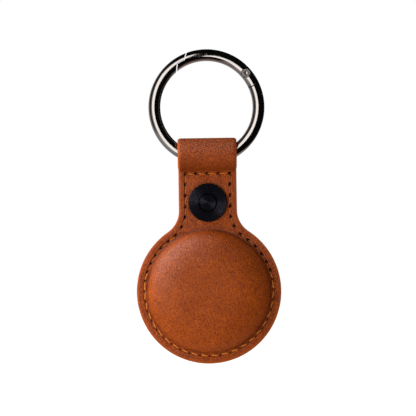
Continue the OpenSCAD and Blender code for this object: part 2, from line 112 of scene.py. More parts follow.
pouch_r = (front_high[0] - front_low[0]) / 2
pouch_z = front_low[2] + pouch_r
front_y, seam_y, lining_y, panel_y = cap_high[1], welt_low[1], welt_high[1], panel_high[1]
leather_t = seam_y - front_y
lining_t = lining_y - seam_y
fold_z = panel_high[2]
loop_z = joints["loop_swing"]["pos_m"][2] / MM
loop_r = front_high[2] - loop_z
snap_z = (cap_low[2] + cap_high[2]) / 2
cap_r = (cap_high[0] - cap_low[0]) / 2
dome_rise = seam_y - front_low[1]
fold_h = fold_z - pouch_z
print("pouch radius", round(pouch_r, 2), "leather", round(leather_t, 2), "loop radius", round(loop_r, 2))

# %% Sizes of the leather and its seams
neck_hw, neck_fillet_r = 8.8, 7.9
flange_w = 3.4
dome_fullness = 3.4
foot_r, edge_r, lining_edge_r = 0.4, 0.36, 0.3
welt_r = 17.4
row_under_loop = 5.9
row_z = loop_z - row_under_loop
row_h = row_z - pouch_z
return_end_h = 24.8
seam_inset, neck_seam_inset = 2.35, 2.1
groove_hw, groove_depth = 0.45, 0.11
hole_length, hole_width, hole_depth = 1.06, 0.84, 1.0
side_stitches, row_stitches, lower_stitches = 12, 4, 22
glue_gap = 0.01
print(lower_stitches + 2 * side_stitches + row_stitches, "stitches")

# %% [markdown]
# ## Grids, and how they become a mesh
# Every soft piece is a few grids of points, each a numpy array worked out from two parameters, such as the
# way along a seam and across it. Neighbouring points become four-sided faces, and points of two grids that
# fall together are merged, so the piece is one closed skin. Numbers that the material needs later, such as
# where the edge paint is, ride along as attributes.

# %% Mesh helpers
WELD = 1e-7
join = np.concatenate


def grid(points, closed=False, **marks):
    """A grid [rows, columns, 3] in millimetres, closed if its last column meets its first, with its
    marks."""
    return {"points": np.asarray(points, float), "closed": closed, "marks": marks}


def grid_faces(rows, columns, closed):
    """Four-sided faces between each point, the next in its row and the two below them."""
    index = np.arange(rows * columns).reshape(rows, columns)
    if closed:
        index = join([index, index[:, :1]], axis=1)
    corners = [index[:-1, :-1], index[1:, :-1], index[1:, 1:], index[:-1, 1:]]
    return np.stack(corners, axis=-1).reshape(-1, 4)


def new_object(name, data):
    """An object in the scene for a mesh, a lamp or a camera."""
    made = bpy.data.objects.new(name, data)
    bpy.context.scene.collection.objects.link(made)
    return made


def build(name, grids, marks=()):
    """Joins grids into one closed mesh object and merges the points that fall together."""
    points, faces, values, count = [], [], {mark: [] for mark in marks}, 0
    for g in grids:
        rows, columns, _ = g["points"].shape
        points.append(g["points"].reshape(-1, 3))
        faces.append(grid_faces(rows, columns, g["closed"]) + count)
        count += rows * columns
        for mark in marks:
            values[mark].append(np.broadcast_to(g["marks"].get(mark, 0.0), (rows, columns)).ravel())
    mesh = bpy.data.meshes.new(name)
    mesh.from_pydata(join(points) * MM, [], join(faces))
    for mark in marks:
        attribute = mesh.attributes.new(mark, "FLOAT", "POINT")
        attribute.data.foreach_set("value", join(values[mark]).astype(np.float32))
    work = bmesh.new()
    work.from_mesh(mesh)
    bmesh.ops.remove_doubles(work, verts=work.verts, dist=WELD)
    bmesh.ops.recalc_face_normals(work, faces=work.faces)
    open_edges = sum(not edge.is_manifold for edge in work.edges)
    work.to_mesh(mesh)
    work.free()
    mesh.polygons.foreach_set("use_smooth", np.ones(len(mesh.polygons), bool))
    print(name, len(mesh.polygons), "faces,", open_edges, "open edges")
    return new_object(name, mesh)


def grain_and_flesh(paint):
    """Marks of rows that go over the grain face, round the painted edge and back over the flesh side."""
    back = paint[::-1]
    return {"paint": join([paint, back]), "flesh": join([0 * paint, 1 - back])}


def smooth(low, high, x):
    """Rises from 0 to 1 as x goes from low to high, level at both ends: 3 t squared less 2 t cubed."""
    t = np.clip((x - low) / (high - low), 0, 1)
    return t * t * (3 - 2 * t)


def roll(r, turn):
    """Inset and depth round a rolled edge: r less r times the sine, and r less r times the cosine."""
    return r * (1 - np.sin(turn)), r * (1 - np.cos(turn))


def unit(vectors):
    """Vectors shortened to length 1."""
    return vectors / np.linalg.norm(vectors, axis=1)[:, None]


# %% [markdown]
# ## Lines that the leather is cut and sewn along
# A pattern maker draws a pouch from straight lines and arcs. So a path here is a list of segments, and a
# place on it is a segment's number and a share of the way along it. The cut edge and the seam have the same
# segments, so a place on one has its partner on the other, and a band between them is a mix of the two.

# %% Paths
def round_way(angle):
    """Unit vectors at angles in radians."""
    return np.stack([np.cos(angle), np.sin(angle)], axis=-1)


def line(start, end):
    """The straight segment from start to end."""
    start, end = np.array(start, float), np.array(end, float)
    return np.linalg.norm(end - start), lambda f: start + (end - start) * f[:, None]


def arc(centre, r, begin, finish):
    """The arc round centre from one angle to another, in degrees."""
    def place(f):
        return np.array(centre) + r * round_way(np.radians(begin + (finish - begin) * f))
    return abs(math.radians(finish - begin)) * r, place


def at(path, segment, share):
    """Points of a path, given the segment's number and the share of its length for each."""
    points = np.zeros((len(share), 2))
    for number, (_, place) in enumerate(path):
        here = segment == number
        points[here] = place(share[here])
    return points


def locate(path, distance):
    """Segment numbers and shares for distances from the path's start."""
    ends = np.cumsum([length for length, _ in path])
    segment = np.minimum(np.searchsorted(ends, distance - 1e-9), len(path) - 1)
    starts = join([[0], ends[:-1]])
    return segment, (distance - starts[segment]) / np.diff(join([[0], ends]))[segment]


def even_shares(steps):
    """Shares at even steps along segments that have the given numbers of steps."""
    return join([np.arange(n) / n for n in steps])


def corner_of(r, hw, fillet):
    """Centre of the arc that joins a circle of radius r to a neck of half width hw, and its angle."""
    centre = np.array([hw + fillet, math.sqrt((r + fillet) ** 2 - (hw + fillet) ** 2)])
    return centre, math.degrees(math.atan2(centre[1], centre[0]))


# %% The seam and the cut edge
seam_r = pouch_r - seam_inset
neck_seam_hw = neck_hw - neck_seam_inset
seam_fillet_r = neck_fillet_r + (seam_inset + neck_seam_inset) / 2
fold_angle = math.degrees(math.asin(fold_h / seam_r))
flap_span = 180 - 2 * fold_angle


def pouch_path(r, hw, fillet, top, shift=0.0):
    """The lower arc, right side, row and left side, all moved outward by shift."""
    (cx, cy), turn = corner_of(r, hw, fillet)
    r, x, fillet, top = r + shift, hw + shift, fillet - shift, top + shift
    return [
        arc([0, 0], r, 180 - fold_angle, 360 + fold_angle),
        arc([0, 0], r, fold_angle, turn),
        arc([cx, cy], fillet, 180 + turn, 180),
        line([x, cy], [x, top]),
        line([x, top], [-x, top]),
        line([-x, top], [-x, cy]),
        arc([-cx, cy], fillet, 0, -turn),
        arc([0, 0], r, 180 - turn, 180 - fold_angle),
    ]


def seam_path(shift=0.0):
    """The seam's path, moved outward by shift."""
    return pouch_path(seam_r, neck_seam_hw, seam_fillet_r, row_h, shift)


row_top_h = row_h + groove_hw
edge_path = pouch_path(pouch_r, neck_hw, neck_fillet_r, row_top_h)
print("the seam is", round(sum(length for length, _ in seam_path()), 1), "mm long")

# %% Columns of points along the seam
# Shares of a stitch's length at which points lie: close together where the hole is
stitch_shares = np.array([0, 0.04, 0.08, 0.12, 0.2, 0.5, 0.8, 0.88, 0.92, 0.96])
per_stitch = len(stitch_shares)
lengths = [length for length, _ in seam_path()]
lower_length, side_length, row_length = lengths[0], sum(lengths[1:4]), lengths[4]
# Each run's length, its stitches, and how much longer they are made toward its end
runs = [(lower_length, lower_stitches, 0), (side_length, side_stitches, 0.03), (row_length, row_stitches, 0),
        (side_length, side_stitches, -0.03)]


def spread(shares):
    """Distances along the whole seam of points that repeat in every stitch. The share of a run that is sewn
    is eased by half a sine wave, so that stitches grow longer toward the neck, as the photographed ones
    do."""
    start, out = 0.0, []
    for length, stitches, growth in runs:
        steps = (np.arange(stitches)[:, None] + shares[None, :]).ravel() / stitches
        out.append(start + length * (steps - growth * np.sin(np.pi * steps)))
        start += length
    return join(out)


column_at = locate(seam_path(), spread(stitch_shares))
hole_at = locate(seam_path(), spread(np.array([0.0])))
holes = at(seam_path(), *hole_at)
outward = unit(at(seam_path(1.0), *hole_at) - holes)
onward = np.stack([-outward[:, 1], outward[:, 0]], axis=-1)
columns = len(column_at[1])
print(len(holes), "stitch holes and", columns, "columns of points along the seam")

# %% [markdown]
# ## How the awl and the press mark the leather
# The seam lies in a pressed channel. At each stitch an awl has left a slanted slit. Both are one function of
# the place on the leather, so every grid that crosses them gets the same marks. The thread fills most of the
# slits of the lower arc, so those are made smaller.

# %% Channel and holes as a function of place
hole_slant = math.radians(28)
open_hole, filled_hole = 1.1, 0.5
is_filled = (np.arange(len(holes)) > 0) & (np.arange(len(holes)) < lower_stitches)
hole_size = np.where(is_filled, filled_hole, open_hole)
# Larger slits lie further outward
hole_shift = 0.16 * (hole_size - 0.3)


def channel(across):
    """Depth of the pressed channel at a signed distance across the seam: level in the middle, soft at its
    sides."""
    return groove_depth * (1 - smooth(0.45 * groove_hw, groove_hw, np.abs(across)))


def pits(points, nearest, slant=hole_slant, size=1.0):
    """Depth of the slits and a mask for painted shade inside them: an ellipse about each hole, turned by the
    slant, with soft walls.
    """
    offset = points - (holes + hole_shift[:, None] * outward)[nearest]
    along = (offset * onward[nearest]).sum(-1)
    across = (offset * outward[nearest]).sum(-1)
    a = along * math.cos(slant) + across * math.sin(slant)
    b = across * math.cos(slant) - along * math.sin(slant)
    size = size * hole_size[nearest]
    reach = np.sqrt((a / (size * hole_length / 2)) ** 2 + (b / (size * hole_width / 2)) ** 2)
    return hole_depth * (1 - smooth(0.35, 1.05, reach)), 1 - smooth(0.6, 1.15, reach)


nearest_hole = ((np.arange(columns) + per_stitch // 2) // per_stitch) % len(holes)
print(is_filled.sum(), "of", len(holes), "slits filled by thread")

# %% [markdown]
# ## The front leather
# One piece of leather is the dome, its flange, the neck, the loop round the ring and the return behind the
# neck. The real one is pressed wet over a round former and left to dry. Here the dome is a profile turned
# about its axis, the channel and the rolled edge are profiles carried along the seam, and the loop is a
# cross-section carried along a path of arcs. A cloth simulation would round the sewn edges off, so plain
# functions were chosen.

# %% The dome's profile
dome_r = pouch_r - flange_w


def dome_profile(depth):
    """Radius and height over the seam plane of a face at a depth under the outer face. The outer face is an
    oval whose radius goes with cos(u) to the power 2/fullness and whose height goes with sin(u), from its
    side to its top, and the inner face is moved inward along the normal."""
    base = leather_t + foot_r
    rise = dome_rise - base
    u = (1 - (1 - np.linspace(0, 1, 30)) ** 2) * math.pi / 2
    power = 2 / dome_fullness
    cosine = np.maximum(np.cos(u), 0)
    face = np.stack([dome_r * cosine ** power, base + rise * np.sin(u)], axis=-1)
    normal = np.stack([rise * cosine ** (2 - power), dome_r * power * np.sin(u)], axis=-1)
    return face - depth * unit(normal)


bend = np.linspace(math.pi * 1.5, math.pi, 9)
foot_centre = np.array([dome_r + foot_r, leather_t + foot_r])
foot = foot_centre + foot_r * round_way(bend)
dome = join([foot, dome_profile(0)])
print("dome", round(2 * dome_r, 1), "mm across and", round(dome_rise, 1), "mm deep")


def hand_made(x, h):
    """Small swells of a moulded skin, in millimetres: three slow waves that cross each other."""
    return 0.05 * (np.sin(0.33 * x + 0.9) * np.cos(0.29 * h - 0.4) + 0.6 * np.sin(0.52 * h + 0.21 * x + 2.0)
                   + 0.4 * np.cos(0.71 * x - 0.37 * h))


def place(plan, y):
    """Points in the frame from places on the pouch's plan and their distance behind the ring's plane."""
    return np.stack(np.broadcast_arrays(plan[..., 0], y, pouch_z + plan[..., 1]), axis=-1)


# %% Dome
inner = at(seam_path(-groove_hw), *column_at)
outer = at(seam_path(groove_hw), *column_at)
rim = at(edge_path, *column_at)
way = unit(inner)
dome_edge = seam_r - groove_hw
dome_row_r, dome_row_y = join([[[dome_edge, leather_t]], dome[1:]]).T
dome_plan = dome_row_r[:, None, None] * way[None, :, :]
swell = hand_made(dome_plan[..., 0], dome_plan[..., 1])
swell *= smooth(dome_edge - 1, dome_edge - 6, dome_row_r)[:, None]
over_flange = (dome_row_y - leather_t)[:, None]
# The dome's foot is darkened by the burnish mark: partly burnish, partly painted shade in the hollow at the
# foot.
dome_grid = grid(place(dome_plan, seam_y - dome_row_y[:, None] + swell), closed=True,
                 burnish=0.6 * smooth(0.9, 0.1, over_flange), moulded=smooth(0.1, 1.2, over_flange))
print("dome grid", dome_plan.shape[:2])

# %% Neck and channel
cap_press = 0.12


def cap_dent(plan):
    """Depth of the leather under and just round the snap's cap, which presses it in."""
    distance = np.hypot(plan[..., 0], plan[..., 1] - (snap_z - pouch_z))
    return cap_press * (1 - smooth(cap_r - 0.2, cap_r + 0.9, distance))


neck_share = np.linspace(0, 1, 14)[:, None, None]
neck_columns = np.flatnonzero(np.linalg.norm(inner, axis=1) > dome_edge + 1e-6)
neck_columns = np.arange(neck_columns[0] - 1, neck_columns[-1] + 2)
neck_plan = dome_edge * way[neck_columns] * (1 - neck_share) + inner[neck_columns] * neck_share
neck_grid = grid(place(neck_plan, front_y + cap_dent(neck_plan) * np.sin(np.pi * neck_share[..., 0])))

across = np.linspace(-1, 1, 15)
band = inner + (outer - inner) * (across[:, None, None] + 1) / 2
pit, hole_mark = pits(band, nearest_hole)
pressed = channel(across * groove_hw)[:, None]
# The channel is darkened partly as burnish and partly as painted shade, and its slits get painted shade.
channel_grid = grid(place(band, front_y + (pressed + pit * (1 - across[:, None] ** 6))), closed=True,
                    hole=hole_mark, burnish=0.3 * pressed / groove_depth)
print("neck grid", neck_plan.shape[:2], "and channel grid", band.shape[:2])

# %% Rolled edge of the flange
puff_height = 0.03
sheet_t = leather_t - glue_gap
quarter, small_quarter = np.linspace(0, math.pi / 2, 8), np.linspace(0, math.pi / 2, 5)
face_shares = np.array([1, 0.93, 0.86, 0.75, 0.58, 0.38, 0.18, 0])
roll_inset, roll_depth = roll(edge_r, quarter[1:])
# The rows' depth, their share of puff and their edge paint, over the face and then round the roll
edge_depth = join([0 * face_shares, roll_depth])
edge_puff = join([np.sin(np.pi * face_shares), 0 * roll_inset])
edge_paint = join([smooth(0.25, 0, face_shares), 1 + 0 * roll_inset])


def edge_insets(widths):
    """Insets of the rows from the cut edge, in columns whose flange has the given widths."""
    face = edge_r + (widths - edge_r) * face_shares[:, None]
    return join([face, roll_inset[:, None] + 0 * widths])


def flange_rows(inset, y):
    """Places on the flange at insets from its cut edge."""
    return place(rim[flange] + to_seam * inset[..., None], y)


rim_width = np.linalg.norm(outer - rim, axis=1) + 1e-9
right_corner = (lower_stitches + side_stitches) * per_stitch
left_corner = right_corner + row_stitches * per_stitch
flange = join([np.arange(left_corner, columns), np.arange(0, right_corner + 1)])
insets = edge_insets(rim_width[flange])
to_seam = ((outer - rim) / rim_width[:, None])[flange]
front_rows = flange_rows(insets, front_y + (edge_depth - puff_height * edge_puff)[:, None])
back_rows = flange_rows(insets[::-1], front_y + sheet_t - edge_depth[::-1][:, None])
flange_grid = grid(join([front_rows, back_rows]), **grain_and_flesh(edge_paint[:, None]))
print("flange", round(rim_width[flange].max(), 2), "mm wide outside the channel")

# %% [markdown]
# The loop's path is seen from the side: a tight hollow bend over the row of stitches, a straight stretch,
# the big arc over the ring, and the same again behind, where the leather is skived thinner and runs down the
# neck's back.

# %% The loop's path
hollow_r = 0.5
start_h = row_z + groove_hw - loop_z
end_h = pouch_z + return_end_h - loop_z
return_t = lining_t - glue_gap


def touch_angle(y):
    """Angle on the hollow bend at which the straight stretch to the big arc begins, for a neck face at y."""
    centre = np.array([-abs(y) - hollow_r, start_h])
    toward = math.degrees(math.atan2(-centre[1], -centre[0]))
    return toward - math.degrees(math.acos((loop_r + hollow_r) / np.linalg.norm(centre)))


def on_arc(centre, r, angle):
    """The point of an arc at an angle."""
    return arc(centre, r, angle, angle)[1](np.zeros(1))[0]


def loop_path(depth):
    """Segments in Y and height over the loop's axis, at a depth under the grain face: from the row over the
    ring and down behind the neck. Bends that turn the other way grow by the depth that the big arc loses."""
    front_turn, back_turn = touch_angle(front_y), touch_angle(lining_y)
    front_c, back_c = [front_y - hollow_r, start_h], [lining_y + hollow_r, start_h]
    small, big = hollow_r + depth, loop_r - depth
    return [
        arc(front_c, small, 0, front_turn),
        line(on_arc(front_c, small, front_turn), on_arc([0, 0], big, 180 + front_turn)),
        arc([0, 0], big, 180 + front_turn, -back_turn),
        line(on_arc([0, 0], big, -back_turn), on_arc(back_c, small, 180 - back_turn)),
        arc(back_c, small, 180 - back_turn, 180),
        line([lining_y - depth, start_h], [lining_y - depth, end_h]),
    ]


# %% Rows of the loop and the return
back_holes = holes[lower_stitches + side_stitches + row_stitches:][:4, 1]
stitch_drop = (back_holes[0] - back_holes[-1]) / (len(back_holes) - 1)
near_hole = join([[-0.53, -0.37, -0.25, -0.12, 0, 0.12, 0.25, 0.37, 0.53],
                  stitch_drop * np.array([0.5, 0.25, -0.25])])
return_h = np.unique(np.append((back_holes[:, None] + near_hole).ravel(), [row_top_h, return_end_h]))[::-1]
return_h = return_h[(return_h <= row_top_h + 1e-6) & (return_h >= return_end_h - 1e-6)]
segment_steps = [7, 3, 66, 3, 7]
segment = np.repeat(np.arange(6), [*segment_steps, len(return_h)])
share = join([even_shares(segment_steps), (row_top_h - return_h) / (row_top_h - return_end_h)])
on_face, under_face = at(loop_path(0.0), segment, share), at(loop_path(1.0), segment, share)
skive = np.where(segment < 2, 0, np.where(segment > 2, 1, smooth(0.7, 1, share)))
strip_t = sheet_t + (return_t - sheet_t) * skive
swollen = np.select([segment == 1, segment == 2, segment == 3],
                    [smooth(0, 1, share), 1, 1 - smooth(0, 1, share)], 0)[:, None]
print(len(segment), "rows, the return skived to", round(return_t, 2), "mm")

# %% The strip's cross-section
row_x = outer[right_corner:left_corner + 1, 0]
side_inset = edge_insets(np.array([neck_hw - row_x[0]]))[:, 0]
chain_x = join([-(neck_hw - side_inset[::-1]), row_x[::-1][1:-1], neck_hw - side_inset])


def both_edges(values):
    """Values across the strip: an edge's rows at each side, and 0 between them."""
    return join([values[::-1], np.zeros(len(row_x) - 2), values])


chain_depth, chain_puff, chain_paint = both_edges(edge_depth), both_edges(edge_puff), both_edges(edge_paint)
print(len(chain_x), "points across the strip")

# %% The strip's two faces
loop_spread, corner_drop = 0.014, 0.3


def strip(depth):
    """Grid of the strip: its cross-section, at a depth [along, across] under the grain face, carried along
    the path."""
    y_h = on_face[:, None, :] + (under_face - on_face)[:, None, :] * depth[..., None]
    x = chain_x * (1 + loop_spread * swollen)
    return np.stack([x, y_h[..., 0], loop_z + y_h[..., 1]], axis=-1)


corner = 1 - smooth(0, 1.2, neck_hw - np.abs(chain_x))
grain_depth = chain_depth + corner_drop * corner ** 2 * swollen
puff_fade = np.where(segment < 5, 1 - smooth(0, 1, np.where(segment == 0, share, 1)), 0)[:, None]
grain_face = strip(grain_depth - puff_height * chain_puff * puff_fade)
strip_plan = np.stack([grain_face[..., 0], grain_face[..., 2] - pouch_z], axis=-1)
from_middle, strip_h = np.abs(strip_plan[..., 0]), strip_plan[..., 1]
behind = (segment == 5)[:, None]
side_channel = channel(from_middle - neck_seam_hw) * (strip_h < row_h + groove_hw / 2)
row_channel = channel(strip_h - row_h) * (from_middle < neck_seam_hw + groove_hw / 2)
near = np.linalg.norm(strip_plan[:, :, None, :] - holes, axis=-1).argmin(axis=-1)
# The slits behind the neck get painted shade too.
pit, back_hole_mark = pits(strip_plan, near, -hole_slant, 0.8)
grain_face[..., 1] -= behind * (np.maximum(side_channel, row_channel) + 0.6 * pit)
flesh_face = strip(strip_t[:, None] - grain_depth)
# foot_shade is painted shade on the loop's foot above the row, carried by the burnish mark.
foot_shade = 0.75 * smooth(0.5, -5.2, on_face[:, 1]) * (segment < 3)
loop_grid = grid(join([grain_face, flesh_face[:, ::-1]], axis=1), closed=True,
                 burnish=foot_shade[:, None], **grain_and_flesh(chain_paint),
                 hole=join([behind * back_hole_mark, 0 * grain_depth], axis=1))
end_grid = grid(np.stack([grain_face[-1], flesh_face[-1]]), flesh=1.0)
print("loop grid", grain_face.shape[:2])

# %% The flesh side, down into the dome
pocket = dome_profile(leather_t)
lip_r = 0.2
lip_inset, lip_depth = roll(lip_r, small_quarter)
lip_row_r, lip_row_y = pocket[0, 0] + lip_inset, lip_depth + glue_gap
out_way = unit(outer)
flat_share = np.linspace(0, 1, 8)[:, None, None]
flat_plan = outer * (1 - flat_share) + out_way * lip_row_r[0] * flat_share
deep_plan = join([lip_row_r[1:], pocket[:, 0]])[:, None, None] * out_way
deep_y = seam_y - join([lip_row_y[1:], pocket[:, 1]])[:, None]
flesh_grid = grid(join([place(flat_plan, front_y + sheet_t), place(deep_plan, deep_y)]),
                  closed=True, flesh=1.0)

MARKS = ("paint", "flesh", "hole", "burnish", "moulded")
front_leather = build("front_leather", [dome_grid, neck_grid, channel_grid, flange_grid, loop_grid, end_grid,
                                        flesh_grid], MARKS)
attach(front_leather, "holder")
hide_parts("front_panel")

# %% [markdown]
# ## The lining
# Between front and back lies a ring of skived leather with a round opening for the tag. Its cross-section, a
# flat strip with rolled edges, is carried round the opening, and its outer end follows the front's cut edge.

# %% Lining
neck_c, neck_turn = corner_of(pouch_r, neck_hw, neck_fillet_r)
lining_path = [
    arc([0, 0], pouch_r, 180 - neck_turn, 360 + neck_turn),
    arc(neck_c, neck_fillet_r, 180 + neck_turn, 180),
    line([neck_hw, neck_c[1]], [-neck_hw, neck_c[1]]),
    arc(neck_c * [-1, 1], neck_fillet_r, 0, -neck_turn),
]
lining_steps = [260, 24, 30, 24]
cut = at(lining_path, np.repeat(np.arange(4), lining_steps), even_shares(lining_steps))
cut_r = np.linalg.norm(cut, axis=1)
rolled, rolled_depth = roll(lining_edge_r, small_quarter)
channel_rows = np.linspace(seam_inset - groove_hw, seam_inset + groove_hw, 7)
flat_rows = join([rolled[::-1], [1.0, 1.6], channel_rows])
inset = np.stack([join([flat_rows, r - welt_r - rolled]) for r in cut_r], axis=1)
level = join([rolled_depth[::-1], np.zeros(2 + len(channel_rows)), rolled_depth])[:, None]
ring_plan = cut - unit(cut) * inset[..., None]
channel_top_h, channel_end_h = 21.5, 23.3
pressed = channel(inset - seam_inset) * smooth(channel_end_h, channel_top_h, ring_plan[..., 1])
back_face = place(ring_plan, lining_y - glue_gap - level - pressed)
front_face = place(ring_plan[::-1], seam_y + glue_gap + level[::-1])
inset_all_round = join([inset, inset[::-1], inset[:1]])
lining_grid = grid(join([back_face, front_face, back_face[:1]]), closed=True,
                   paint=smooth(1.0, 0.2, inset_all_round))
lining = build("lining", [lining_grid], MARKS)
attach(lining, "holder")
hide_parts("seam_welt")

# %% [markdown]
# ## The back: sewn panel and flap in one piece
# The lower half of the back is sewn down, and the upper half folds open along a pressed crease. It is one
# piece of leather, so it is one mesh.
# Rows of its grid run along the crease, and a band follows the cut edge all round.

# %% The back's outline
flap_inset = 0.5
flap_r, flap_hw, flap_fillet_r = pouch_r - flap_inset, neck_hw - flap_inset, neck_fillet_r + flap_inset
tongue_h, tongue_corner_r = flap_high[2] - pouch_z, 5.0
flap_c, flap_turn = corner_of(flap_r, flap_hw, flap_fillet_r)


def flap_path(inset):
    """The flap's cut edge from its right end over the tongue to its left end, moved inward by inset."""
    x, top = flap_hw - inset, tongue_h - inset
    low, corner = flap_c[1], [flap_hw - tongue_corner_r, tongue_h - tongue_corner_r]
    r, fillet, small = flap_r - inset, flap_fillet_r + inset, tongue_corner_r - inset
    return [
        arc([0, 0], r, fold_angle, flap_turn),
        arc(flap_c, fillet, 180 + flap_turn, 180),
        line([x, low], [x, corner[1]]),
        arc(corner, small, 0, 90),
        line([corner[0], top], [-corner[0], top]),
        arc([-corner[0], corner[1]], small, 90, 180),
        line([-x, corner[1]], [-x, low]),
        arc(flap_c * [-1, 1], fillet, 0, -flap_turn),
        arc([0, 0], r, 180 - flap_turn, 180 - fold_angle),
    ]


# %% Columns of the back
# Columns over the flap lie partly by even angles and partly by even lengths, so none is wide at the neck
by_length = 0.55
lower = np.arange(lower_stitches * per_stitch + 1)
lower_angle = 180 - fold_angle + (180 + 2 * fold_angle) * spread(stitch_shares)[lower] / lower_length
turned = (lower_angle[-1] - lower_angle) / (lower_angle[-1] - lower_angle[0])
sample = np.linspace(0, 1, 4000) * sum(length for length, _ in flap_path(0))
sample_points = at(flap_path(0), *locate(flap_path(0), sample))
sample_angle = np.degrees(np.arctan2(sample_points[:, 1], sample_points[:, 0]))
even_angle = np.interp(fold_angle + flap_span * turned[::-1], sample_angle, sample)
flap_distance = (1 - by_length) * even_angle + by_length * sample[-1] * turned[::-1]
flap_at = locate(flap_path(0), flap_distance)
crease_share = ((np.interp(flap_distance, sample, sample_angle) - fold_angle) / flap_span)[::-1]


def back_edge(inset):
    """Both halves of the back's edge at an inset: the lower arc from left to right, then the flap back to
    the left."""
    below = (pouch_r - inset) * round_way(np.radians(lower_angle))
    above = at(flap_path(inset), *flap_at)
    step = flap_inset * (1 - smooth(0, 0.04, np.minimum(turned, 1 - turned)))
    above *= (1 + step / np.linalg.norm(above, axis=1))[:, None]
    return below, above


print(len(lower), "columns, the flap's edge", round(sample[-1], 1), "mm long")

# %% The back's shape from the side
bend_top_h = snap_z - pouch_z - 5.4
bend_bottom_h = bend_top_h - 6.6
flap_y, tongue_y = flap_low[1], flap_high[1] - leather_t
crease_depth, crease_w = 0.22, 0.45


def back_front_y(h):
    """Front face of the back at a height: the panel's plane, the flap's just behind it, then the S bend,
    half a cosine wave that brings the tongue out to the snap."""
    at_fold = smooth(fold_h - 0.8, fold_h + 1.0, h)
    at_bend = (1 - np.cos(np.pi * np.clip((h - bend_bottom_h) / (bend_top_h - bend_bottom_h), 0, 1))) / 2
    return lining_y + glue_gap + (flap_y - lining_y) * at_fold + (tongue_y - flap_y) * at_bend


def crease(h):
    """Depth of the crease pressed along the fold on the back: a bell curve."""
    return crease_depth * np.exp(-((h - fold_h - 0.2) / crease_w) ** 2)


print("the tongue stands", round(tongue_y - flap_y, 2), "mm behind the flap")

# %% The band along the back's edge
back_t = leather_t - glue_gap
band_insets = np.append(np.linspace(seam_inset + groove_hw, seam_inset - groove_hw, 13), [1.7, 1.2, 0.8])
full_inset, full_depth = roll(edge_r, quarter)
profile_inset = np.append(band_insets, full_inset)
profile_depth = np.append(0 * band_insets, full_depth)[:, None]
edges = [back_edge(inset) for inset in profile_inset]
band_plan = np.stack([join([below, above[1:-1]]) for below, above in edges])
band_column = np.arange(band_plan.shape[1])
is_panel = band_column < len(lower)
nearest_low = np.clip((band_column + per_stitch // 2) // per_stitch, 0, lower_stitches)
# The slits in the panel's channel get painted shade.
pit, back_hole = pits(band_plan, nearest_low, -hole_slant, 0.85)
in_channel = (np.abs(profile_inset - seam_inset) < groove_hw - 1e-6)[:, None]
marks_depth = np.where(is_panel, channel(profile_inset - seam_inset)[:, None] + pit * in_channel, 0)
y_front = back_front_y(band_plan[..., 1])
band_back = place(band_plan, y_front + back_t - profile_depth - marks_depth - crease(band_plan[..., 1]))
band_front = place(band_plan, y_front + profile_depth)[::-1]
band_paint = np.append(0 * band_insets, smooth(-0.2, 0.6, np.linspace(0, 1, len(quarter))))
back_band = grid(join([band_back, band_front]), closed=True, **grain_and_flesh(band_paint[:, None]),
                 hole=join([np.where(is_panel, back_hole * in_channel, 0), 0 * back_hole]))
print("band grid", band_plan.shape[:2])

# %% Panel and flap
panel_edge, flap_edge = edges[0][0], edges[0][1][::-1]
crease_x = panel_edge[-1, 0] * np.cos(np.pi * crease_share)
crease_line = np.stack([crease_x, np.full(len(lower), panel_edge[0, 1])], axis=-1)


def fill(edge, rows, power):
    """Rows from the crease to an edge, closer together near the crease."""
    v = (np.linspace(0, 1, rows) ** power)[:, None, None]
    return crease_line * (1 - v) + edge * v


fills = []
for edge, rows, power in ((panel_edge, 24, 1.5), (flap_edge, 46, 1.35)):
    fill_plan = fill(edge, rows, power)
    y = back_front_y(fill_plan[..., 1])
    fills.append(grid(place(fill_plan, y), flesh=1.0))
    fills.append(grid(place(fill_plan, y + back_t - crease(fill_plan[..., 1]))))
back_leather = build("back_leather", [back_band, *fills], MARKS)
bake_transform(back_leather)
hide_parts("back_panel", "back_flap")

# %% [markdown]
# ## Thread
# A waxed needle thread runs from hole to hole on the front, and a bobbin thread on the back. Each stitch is
# a tube whose centre line starts inside one hole, comes up, lies in the channel and dives into the next. Its
# section has three lobes that turn along the stitch, like three plies twisted together. The two runs end at
# the pouch's sides, where stitches are sewn over each other.

# %% Stitches
ply_twists, ply_share = 1.8, 0.12
pressed_flat, sunk_share = 0.86, 0.62
tube_steps, tube_sides = 26, 15


def stitches(starts, ends, way_out, surface, sign, r, slant=0.0, lift=0.0, dive=0.2):
    """One tube grid for each stitch, on a leather face at depth surface, whose outside is toward sign in Y.
    The centre line rises smoothly over the share dive of its length at each end, and its radius goes with
    the cosine of three times the angle round the tube, less the twist."""
    s = np.linspace(0, 1, tube_steps)
    near_end = np.minimum(s, 1 - s)
    rise = smooth(0.04, dive, near_end)
    sag = groove_depth - sunk_share * r - lift + (hole_depth - 0.3) * (1 - rise)
    theta = np.linspace(0, 2 * np.pi, tube_sides, endpoint=False)
    ply = 0.5 + 0.5 * np.cos(3 * theta[None, :] - 2 * np.pi * 3 * ply_twists * s[:, None])
    end_share = np.where(near_end > 0, 0.8 + 0.2 * rise, 1e-5)[:, None]
    tube_r = r * (1 - ply_share + ply_share * ply) * end_share
    out = []
    for start, end, outward_way in zip(starts, ends, way_out):
        along = (end - start) / np.linalg.norm(end - start)
        aside = np.array([-along[1], along[0]])
        aside *= np.sign(aside @ outward_way)
        middle = start + (end - start) * s[:, None] + aside * (slant * (s - 0.5))[:, None]
        plan = middle[:, None, :] + aside * (tube_r * np.cos(theta))[..., None]
        y = surface + sign * (-sag[:, None] + tube_r * np.sin(theta) * pressed_flat)
        out.append(grid(place(plan, y), closed=True, ply=ply))
    return out


# %% Threads
seam_shift, tack_shift = -0.09, 0.02
tack_r, tack_slant, tack_lift = 0.2, 0.3, 0.16


